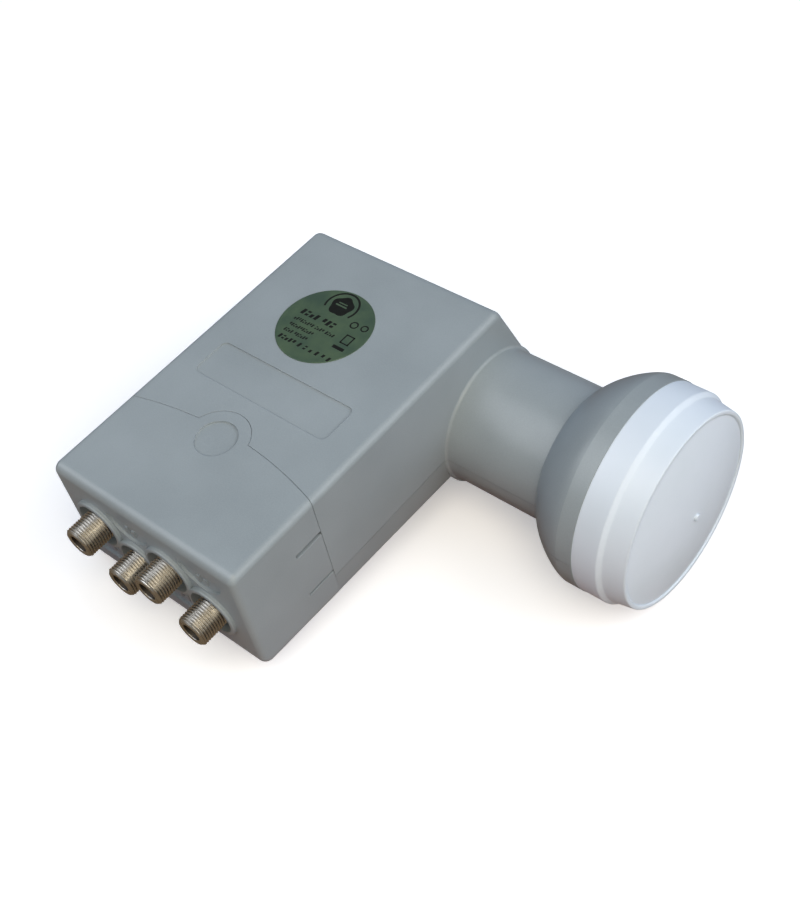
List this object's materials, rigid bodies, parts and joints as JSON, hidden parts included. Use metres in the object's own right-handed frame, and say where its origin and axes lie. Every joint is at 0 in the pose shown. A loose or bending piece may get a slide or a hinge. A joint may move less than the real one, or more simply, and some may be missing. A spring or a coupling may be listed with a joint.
{
  "type": "satellite lnb",
  "caption": "Satellite dish feed converter with a round clamping neck, a capped feed head, threaded output sockets and a sliding weather cover.",
  "frame": {"origin": "on the neck axis at the middle of the clamping length", "axes": "+X along the neck towards the feed cap, -Y towards the sockets, +Z out of the label face"},
  "size_m": [0.1343, 0.1348, 0.063],
  "materials": {
    "housing": "fine moulded texture",
    "cap": "smooth moulded",
    "seal": "matte",
    "label": "printed foil",
    "casting": "as cast",
    "sheet": "pressed",
    "steel": "zinc plated",
    "board": "solder mask",
    "contact": "gold plated",
    "insulator": "smooth",
    "chip": "moulded",
    "nickel": "nickel plated, turned"
  },
  "bodies": {
    "housing": {"upper_shell": "housing", "lower_shell": "housing", "feed_cap": "cap", "cap_seal": "seal", "round_label": "label", "cast_chassis": "casting", "chassis_lid": "sheet", "lid_screws": "steel", "circuit_board": "board", "vertical_probe": "contact", "horizontal_probe": "contact", "vertical_probe_sleeve": "insulator", "horizontal_probe_sleeve": "insulator", "isolation_pin": "steel", "switch_chip": "chip", "converter_chip_1": "chip", "converter_chip_2": "chip", "voltage_regulator": "chip", "reference_crystals": "sheet", "choke_coils": "chip", "filter_capacitors": "sheet", "amplifier_transistors": "chip", "f_socket_1": "nickel", "socket_insulator_1": "insulator", "socket_contact_1": "contact", "socket_seal_1": "seal", "f_socket_2": "nickel", "socket_insulator_2": "insulator", "socket_contact_2": "contact", "socket_seal_2": "seal", "f_socket_3": "nickel", "socket_insulator_3": "insulator", "socket_contact_3": "contact", "socket_seal_3": "seal", "f_socket_4": "nickel", "socket_insulator_4": "insulator", "socket_contact_4": "contact", "socket_seal_4": "seal"},
    "cover": {"weather_cover": "housing"}
  },
  "joints": [
    {"name": "cover_slide", "type": "slide", "parent": "housing", "child": "cover", "axis": [0, -1, 0], "range_m": [0, 0.022]}
  ]
}
